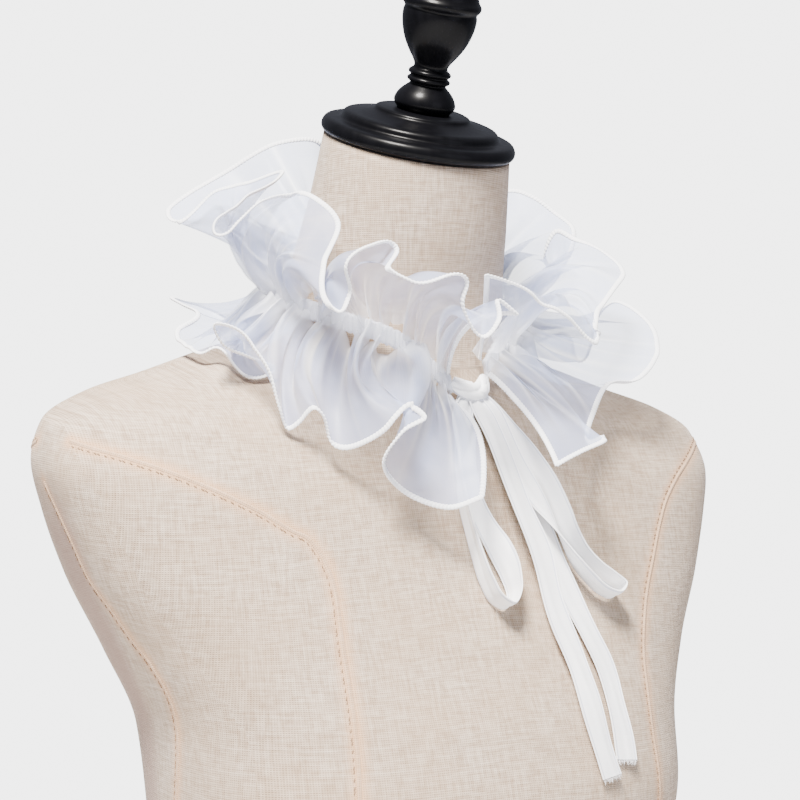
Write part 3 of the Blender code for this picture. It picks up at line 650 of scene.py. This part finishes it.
LOWER_CREASES = [
    (5, 7.8, 3.3, 0.8), (11, 6.5, -3.3, 0.6), (24, 9.1, 3.7, 0.85), (40, 6.5, -3.3, 0.65), (47, 7.8, 3.7, 0.8),
    (59, 6.5, -3.3, 0.7), (66, 7.8, 3.3, 0.8), (77, 6.5, -3.1, 0.6), (90, 7.8, 3.5, 0.75), (99, 6.5, -3.1, 0.6),
    (109, 7.8, 3.3, 0.75), (121, 7.8, -3.3, 0.6), (132, 7.8, 3.5, 0.75), (147, 9.1, -3.5, 0.65),
    (158, 7.8, 3.7, 0.8), (170, 7.8, -3.3, 0.6), (182, 9.1, 3.7, 0.8), (195, 7.8, -3.3, 0.6),
    (208, 7.8, 3.5, 0.8), (221, 9.1, -3.5, 0.65), (234, 7.8, 3.7, 0.8), (247, 7.8, -3.3, 0.6),
    (260, 9.1, 3.5, 0.75), (273, 7.8, -3.3, 0.6), (292, 9.1, 3.7, 0.8), (301, 6.5, -3.1, 0.6),
    (314, 7.8, 3.5, 0.75), (322, 6.5, -3.1, 0.6), (333, 9.1, 3.5, 0.8),
]


def bowed(root, hem, leaves, share):
    """A point on the cloth, which bows so that it is RUFFLE_DEPTH deep however near its hem is."""
    chord = hem - root
    length = np.linalg.norm(chord, axis=-1, keepdims=True)
    sag = length * np.sqrt(0.375 * np.maximum(RUFFLE_DEPTH / length - 1, 0))
    way = chord / length
    side = leaves - way * np.sum(leaves * way, axis=-1, keepdims=True)
    side = side / (np.linalg.norm(side, axis=-1, keepdims=True) + 0.15)
    control = root + chord / 2 + side * sag * 2
    return root * (1 - share) ** 2 + control * 2 * share * (1 - share) + hem * share**2


def ruffle_roots(angles, above):
    """Where the cloth leaves the casing, whose upper edge is above 1 and lower edge is above -1."""
    middles, ways_up = neck_line(angles)
    return middles + ways_up * above * (CASING_HEIGHT / 2 - ROOT_TUCK)


def onward(angle):
    """Along the neck line, the way that the neck angle grows."""
    a = np.radians(np.asarray(angle, float))
    return np.stack([-np.cos(a), np.sin(a), np.zeros_like(a)], axis=-1)


def hem_points(roots, folds, angles):
    out, along, up = smooth(folds[:, 0], folds[:, 1:], angles).T[:, :, None] * MM
    return roots + outward(angles) * out + onward(angles) * along + UP * up


def sheet_normals(grid):
    return unit(np.cross(np.gradient(grid, axis=0), np.gradient(grid, axis=1)))


def crease_swell(angles, run, shares, creases, dice):
    """How far gathers and creases push the cloth out of its big folds and along them, at each column and row, and
    how near it is to the line of a fold, which a painted highlight follows."""
    swell, lean, line = np.zeros((3, len(run), len(shares)))
    place = np.interp([c[0] for c in creases], angles, run)
    for (_, half_width, high, end), at in zip(creases, place):
        fade = np.clip(shares / 0.06, 0, 1) * np.clip((end - shares) / end, 0, 1) ** 0.6
        widen = half_width * MM * (0.9 + 0.7 * shares)
        swell += high * MM * fade * np.exp(-(((run[:, None] - at) / widen) ** 2))
    for cut, low, high, dies_from, dies_to in GATHERS:
        count = 2 * round(run[-1] / (cut * MM))
        centres = (np.arange(count) + 0.5 + dice.uniform(-0.42, 0.42, count)) * run[-1] / count
        for k, at in enumerate(centres):
            size = dice.uniform(low, high) * MM * (1 if k % 2 else -1)
            fade = np.exp(-((shares / dice.uniform(dies_from, dies_to)) ** 2))
            widen = dice.uniform(0.11, 0.22) * cut * MM * (1 + 0.5 * shares)
            fold = abs(size) * fade * np.exp(-(((run[:, None] - at) / widen) ** 2))
            swell += fold * np.sign(size)
            lean += fold * dice.uniform(-0.8, 0.8)
            thin = np.maximum(0.3 * widen, THINNEST_FOLD)
            # a painted highlight along each gather's fold line
            line += dice.uniform(0.3, 0.9) * fade * np.exp(-(((run[:, None] - at) / thin) ** 2))
    return swell, lean, np.clip(line, 0, 1)


def off_the_linen(points):
    """The points, with those in the linen or almost on it moved clear of it."""
    moved = points.reshape(-1, 3).copy()
    for k, point in enumerate(moved):
        at, out, _, far = linen_tree.find_nearest(Vector(point), 0.02)
        if at is not None and (far < CLEARANCE or (Vector(point) - at).dot(out) < 0):
            moved[k] = at + out * CLEARANCE
    return moved.reshape(points.shape)


def add_ruffle(name, folds, creases, leaves_at, material, dice):
    """The sheet of one ruffle, and its grid of points from casing to hem."""
    above = 1 if leaves_at > 0 else -1
    fine = np.linspace(folds[0, 0], folds[-1, 0], 3000)
    hem = hem_points(ruffle_roots(fine, above), folds, fine)
    angles = np.interp(np.linspace(0, runs(hem)[-1], RUFFLE_COLUMNS), runs(hem), fine)
    roots = ruffle_roots(angles, above)
    hems = hem_points(roots, folds, angles)
    tilt = radians(leaves_at)
    leaves = outward(angles) * cos(tilt) + UP * sin(tilt)
    shares = np.linspace(0, 1, RUFFLE_ROWS) ** 1.2
    grid = np.stack([bowed(roots, hems, leaves, share) for share in shares], axis=1)
    run = runs(hems)
    swell, lean, line = crease_swell(angles, run, shares, creases, dice)
    grid += sheet_normals(grid) * swell[..., None] + unit(np.gradient(grid, axis=0)) * lean[..., None]
    grid[:, FIXED_ROWS:] = off_the_linen(grid[:, FIXED_ROWS:])
    piece = add_mesh(name, grid, strip_faces(*grid.shape[:2]), material)
    lay_cloth(piece, np.repeat(run, RUFFLE_ROWS), np.tile(shares * RUFFLE_DEPTH, RUFFLE_COLUMNS))
    # the painted highlight along the folds, which the organza material whitens
    mark(piece, "painted fold highlight", line.ravel())
    return piece, grid, run[-1]


sheer_organza = organza_material("sheer white organza", 0.51, "#bec8e6", "#97a4d0", gathered=0.85)
upper, upper_grid, upper_cut = add_ruffle("upper_organza", UPPER_FOLDS, UPPER_CREASES, UPPER_LEAVES,
                                          sheer_organza, dice)
lower, lower_grid, lower_cut = add_ruffle("lower_organza", LOWER_FOLDS, LOWER_CREASES, LOWER_LEAVES,
                                          sheer_organza, dice)

# Merrowed edges
# The strip's hems and short ends are bound all along with a merrow stitch: close slanting loops of soft white
# yarn, wrapped over the raw edge.

MERROW_WIDTH, MERROW_THICKNESS, MERROW_PITCH = 2.9 * MM, 1.3 * MM, 2.0 * MM
MERROW_INSET = 0.8 * MM  # of its middle from the raw edge
MERROW_SIDES = 10

# fluffy texturised nylon yarn: matte, brighter than the cloth, with a fine fuzz
wrapped_yarn, yarn_shader = new_material("wrapped white nylon yarn", Roughness=0.75, Sheen_Weight=0.3,
                                         Sheen_Roughness=0.6)
tree = wrapped_yarn.node_tree
fuzz = noise(tree, 1500.0, 2.0)
tree.links.new(blend(tree, fuzz, "#e9ebf3", "#ffffff"), yarn_shader.inputs["Base Color"])
emboss(tree, yarn_shader, fuzz, 0.4, 0.2 * MM)


def averaged(values, reach):
    """Each row averaged with its neighbours, which rounds the corners of a path."""
    padded = np.pad(values, ((reach, reach), (0, 0)), mode="edge")
    return sum(padded[k : k + len(values)] for k in range(2 * reach + 1)) / (2 * reach + 1)


def add_merrow(name, grid):
    """The bound edge, down one short end, along the hem and up the other end."""
    hem = grid[:, -1]
    path = np.concatenate([grid[0, 1:-1], hem, grid[-1, -2:0:-1]])
    inside = np.concatenate([grid[1, 1:-1], grid[:, -2], grid[-2, -2:0:-1]])
    inward = unit(inside - path)
    run = runs(path)
    even = np.linspace(0, run[-1], int(run[-1] / (MERROW_PITCH / 4)))
    path = np.stack([np.interp(even, run, path[:, k]) for k in range(3)], axis=1)
    inward = unit(np.stack([np.interp(even, run, inward[:, k]) for k in range(3)], axis=1))
    path, inward = averaged(path, 3), unit(averaged(inward, 5))
    along = unit(np.gradient(path, axis=0))
    inward = unit(inward - along * np.sum(inward * along, axis=1, keepdims=True))
    over = np.cross(along, inward)
    turn = np.linspace(0, 2 * pi, MERROW_SIDES, endpoint=False)
    loop = np.sin(even[:, None] * 2 * pi / MERROW_PITCH + turn[None, :])
    wide = MERROW_WIDTH / 2 * (1 + 0.11 * loop) * np.cos(turn)
    thick = MERROW_THICKNESS / 2 * (1 + 0.4 * loop) * np.sin(turn)
    rings = path[:, None] + inward[:, None] * (wide + MERROW_INSET)[..., None] + over[:, None] * thick[..., None]
    return add_mesh(name, rings[:, ::-1], loft_faces(len(even), MERROW_SIDES), wrapped_yarn)


upper_edge = add_merrow("upper_merrow_edge", upper_grid)
lower_edge = add_merrow("lower_merrow_edge", lower_grid)
for piece, edge, node, slot, cut in ((upper, upper_edge, "upper_ruffle", "organza_upper", upper_cut),
                                     (lower, lower_edge, "lower_ruffle", "organza_lower", lower_cut)):
    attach(piece, "root")
    edge.parent = piece
    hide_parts(node)

# Ribbon bow
# A soft white woven ribbon, 13 mm wide, comes out of the casing at the front and is tied in a bow. Its two
# loops and two cut ends hang on the chest, the ends slightly frayed.

RIBBON_WIDTH, RIBBON_THICKNESS, RIBBON_STEP = 13 * MM, 0.7 * MM, 1.6 * MM
RIBBON_COLUMNS = 19
DRAWN_IN, DRAWN_IN_WITHIN = 0.5, 11 * MM  # how much narrower it is at the knot, and how near the knot
WAVER = 0.5 * MM  # of its path from side to side
CUPPED, CREASED, SELVEDGE, GATHERED = 0.5 * MM, 0.35 * MM, 0.45 * MM, 2.4 * MM  # relief across it
FRAYED_THREADS, FRAYED_RADIUS = 34, 0.14 * MM
CHEST_FACING = np.array((0.04, -0.93, 0.36))  # out of the chest where the ribbon lies
RIBBON_ROUTES = {
    # x, z, lift off the linen, all in mm, and the turn in degrees, 0 where the ribbon lies flat on the chest
    "ribbon_loop_left": [
        (8, 617, 5.5, 0), (5, 610, 4.8, 0), (2, 596, 2.2, 0), (-2, 576, 2.2, 0), (-1, 560, 2.4, 0),
        (3, 547, 3.5, -10), (7, 534, 6.5, -40), (10, 521, 8.2, -70), (10, 512, 8.4, -85), (5, 506, 8.6, -90),
        (-1, 509, 8.8, -90), (-6, 519, 9.0, -88), (-9, 532, 9.0, -85), (-11, 547, 9.0, -80),
        (-12, 563, 9.2, -75), (-10, 580, 10.0, -60), (-4, 597, 8.6, -20), (4.6, 610, 7.5, 0), (8, 617, 6.5, 0),
    ],
    "ribbon_loop_right": [
        (14.5, 617, 5.5, 0), (19.5, 610, 4.8, 0), (29, 597, 2.1, 0), (38, 583, 3.6, -15), (45, 568, 6.5, -45),
        (48.5, 554, 8.0, -65), (51.5, 542, 8.4, -75), (56, 533, 8.6, -78), (65, 524, 8.8, -82),
        (74, 518, 8.8, -86), (80, 513, 8.8, -90), (76, 509, 8.8, -90), (67, 511, 8.8, -86), (58, 519, 8.8, -82),
        (50, 529, 10.0, -72), (43.5, 542, 9.6, -50), (36.5, 558, 6.6, -12), (29, 577, 5.3, 0), (23, 595, 5.2, 0),
        (17.5, 610, 7.5, 0), (14, 617, 6.5, 0),
    ],
    "ribbon_tail_back": [
        (11.5, 617, 5.8, 0), (14, 610, 6.0, 0), (21, 591, 3.6, 0), (28, 573, 3.6, 0), (36, 549, 3.6, 0),
        (43, 526, 3.6, 0), (49, 507, 3.4, 0), (55, 488, 3.2, 4), (60, 473, 3.2, 8), (62, 456, 3.2, 8),
        (63, 441, 3.0, 5), (62, 426, 2.8, 4),
    ],
    "ribbon_tail_front": [
        (10, 617.5, 7.5, 0), (11.5, 610, 8.8, 0), (15, 595, 9.0, 4), (19, 577, 9.8, 8), (24, 554, 10.4, 4),
        (30, 533, 9.4, 0), (34, 508, 6.6, 0), (40, 477, 5.2, 0), (43, 453, 4.8, 0), (46, 435, 4.0, 3),
        (49, 419, 3.4, 5),
    ],
}
KNOT = np.array([
    # x, y, z of its middle, half size, all in mm
    (-1.4, -62.9, 621.4, 3.4), (2.0, -64.4, 619.2, 4.3), (6.4, -65.8, 617.0, 4.9), (11.0, -66.2, 616.2, 5.1),
    (15.6, -64.6, 617.6, 4.5), (19.0, -61.8, 620.8, 3.5), (21.6, -58.9, 624.6, 2.3),
])
KNOT_RINGS, KNOT_SIDES, KNOT_FLATNESS = 60, 48, 0.7

# woven polyester ribbon: an even soft white with a low sheen and fine ribs across it
soft_ribbon, ribbon_shader = new_material("soft woven polyester ribbon", Roughness=0.7, Sheen_Weight=0.4,
                                          Sheen_Roughness=0.5)
tree = soft_ribbon.node_tree
cloth = add_node(tree, "UVMap", uv_map="cloth").outputs["UV"]
# its ribs are 0.3 mm apart, drawn at 0.8 mm so that they show
ribs = add_node(tree, "TexWave", {"Vector": cloth, "Scale": pi / 10 / (0.8 * MM), "Distortion": 0.6},
                bands_direction="Y")
weave = combine(tree, "MULTIPLY_ADD", ribs.outputs["Fac"], 0.3, noise(tree, 120.0, 3.0, Vector=cloth))
# a line 5.6 mm off the middle, just inside each raised selvedge, painted bluish grey as the shade beside it
off_middle = combine(tree, "ABSOLUTE", add_node(tree, "SeparateXYZ", {0: cloth}).outputs["X"])
painted_edge_shade = combine(tree, "MULTIPLY", combine(tree, "COMPARE", off_middle, 5.6 * MM, 0.4 * MM), 0.6)
# the painted shade line inside each selvedge
tree.links.new(blend(tree, painted_edge_shade, blend(tree, weave, "#eef0f7", "#ffffff"), "#b4bad2"),
               ribbon_shader.inputs["Base Color"])
emboss(tree, ribbon_shader, weave, 0.25, 0.15 * MM)


def add_ribbon(name, route, wave):
    """A length of ribbon along its route, closed all round, and the grid of points at its middle."""
    route = np.array(route, float)
    reach = [linen_reach((x * MM, 0, z * MM), (0, -1, 0)) for x, z, _, _ in route]
    at = np.stack([route[:, 0] * MM, -np.array(reach) - route[:, 2] * MM, route[:, 1] * MM, route[:, 3]], axis=1)
    run = runs(at[:, :3])
    rows = smooth(run, at, np.linspace(0, run[-1], round(run[-1] / RIBBON_STEP)))
    middles = rows[:, :3]
    along = unit(np.gradient(middles, axis=0))
    across = unit(np.cross(along, CHEST_FACING))
    facing = np.cross(across, along)
    turn = np.radians(rows[:, 3])[:, None]
    across = across * np.cos(turn) + facing * np.sin(turn)
    facing = unit(np.cross(across, along))
    run = runs(middles)
    shares = np.linspace(-0.5, 0.5, RIBBON_COLUMNS)
    from_knot = np.minimum(run, run[-1] - run) if "loop" in name else run
    drawn_in = 1 - DRAWN_IN * np.exp(-((from_knot / DRAWN_IN_WITHIN) ** 2))
    drawn_in = drawn_in * (1 + 0.045 * np.sin(run / (7 * MM) + wave * 300))
    middles = middles + across * (WAVER * np.sin(run / (11 * MM) + wave * 100))[:, None]
    cupped = CUPPED * (1 - (2 * shares) ** 2)[None, :] * np.sin(run / wave)[:, None]
    cupped = cupped + (1 - drawn_in)[:, None] * GATHERED * np.cos(shares * 3 * pi)[None, :]
    selvedge = SELVEDGE * np.exp(-(((0.5 - np.abs(shares)) / 0.045) ** 2))[None, :]
    crease_at = 0.18 * np.sin(run / 0.05)[:, None]
    creased = selvedge + CREASED * np.exp(-(((shares[None, :] - crease_at) / 0.12) ** 2))
    grid = middles[:, None] + across[:, None] * (shares * drawn_in[:, None])[..., None] * RIBBON_WIDTH
    grid = grid + facing[:, None] * (cupped + creased)[..., None]
    count, wide = grid.shape[:2]
    half = sheet_normals(grid) * RIBBON_THICKNESS / 2
    points = np.concatenate([(grid + half).reshape(-1, 3), (grid - half).reshape(-1, 3)])
    back = count * wide
    faces = strip_faces(count, wide)
    faces += [tuple(back + v for v in face[::-1]) for face in faces]
    rim = [k * wide for k in range(count)] + [(count - 1) * wide + j for j in range(1, wide)]
    rim += [k * wide + wide - 1 for k in range(count - 2, -1, -1)] + list(range(wide - 2, -1, -1))
    faces += [(b, a, back + a, back + b) for a, b in zip(rim, rim[1:])]
    piece = add_mesh(name, points, faces, soft_ribbon)
    piece.data.set_sharp_from_angle(angle=radians(60))
    uv_across, uv_along = np.tile(shares * RIBBON_WIDTH, count), np.repeat(run, wide)
    lay_cloth(piece, np.tile(uv_across, 2), np.tile(uv_along, 2))
    return piece, grid, run[-1]


def add_fray(name, ribbon_grid, dice):
    """Loose thread ends at a cut end."""
    edge, before = ribbon_grid[-1], ribbon_grid[-4]
    points, faces = [], []
    side = unit(edge[-1] - edge[0])
    for k in range(FRAYED_THREADS):
        share = (k + dice.uniform(0.1, 0.9)) / FRAYED_THREADS * (len(edge) - 1)
        low = int(share)
        root = edge[low] * (1 - share + low) + edge[low + 1] * (share - low)
        way = unit(root - (before[low] * (1 - share + low) + before[low + 1] * (share - low)))
        length, lean, lift = dice.uniform(0.8, 3.2) * MM, dice.uniform(-0.5, 0.5), dice.uniform(-0.3, 0.3)
        start = len(points)
        for step in np.linspace(0, 1, 5):
            middle = root + way * length * step + side * lean * length * step**2
            middle = middle + np.cross(side, way) * lift * length * step**2
            for t in range(4):
                spoke = side * cos(t * pi / 2) + np.cross(side, way) * sin(t * pi / 2)
                points.append(middle + spoke * FRAYED_RADIUS * (1.1 - 0.6 * step))
        faces += [tuple(start + v for v in face) for face in loft_faces(5, 4)]
    return add_mesh(name, points, faces, wrapped_yarn)


index = np.arange(len(KNOT))
rows = smooth(index, KNOT, np.linspace(0, len(KNOT) - 1, KNOT_RINGS)) * MM
along = unit(np.gradient(rows[:, :3], axis=0))
up = unit(np.cross(along, CHEST_FACING))
out = np.cross(up, along)
turn = np.linspace(0, 2 * pi, KNOT_SIDES, endpoint=False)
run = runs(rows[:, :3])
pleat = (1 - np.abs(np.sin(2.5 * turn[None, :] + run[:, None] * 2 * pi / (30 * MM)))) ** 2
pinch = (1 - np.abs(np.sin(2 * turn[None, :] - run[:, None] * 2 * pi / (19 * MM) + 1.0))) ** 4
size = rows[:, 3:4] * (1.16 - 0.3 * pleat - 0.14 * pinch)
rings = (rows[:, None, :3] + out[:, None] * (size * KNOT_FLATNESS * np.cos(turn))[..., None]
         + up[:, None] * (size * np.sin(turn))[..., None])
knot = add_mesh("bow_knot", rings, loft_faces(len(rows), KNOT_SIDES), soft_ribbon)
lay_cloth(knot, np.tile(turn * 4 * MM, len(rows)), np.repeat(run, KNOT_SIDES))
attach(knot, "root")
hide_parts("ribbon_knot")

for (node, route), wave in zip(RIBBON_ROUTES.items(), (0.021, 0.027, 0.033, 0.024)):
    piece, ribbon_grid, length = add_ribbon("bow" + node[6:], route, wave)
    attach(piece, "root")
    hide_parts(node)
    going = []
    if "tail" in node:
        going = [add_fray(piece.name + "_fray", ribbon_grid, dice)]
        going[0].parent = piece
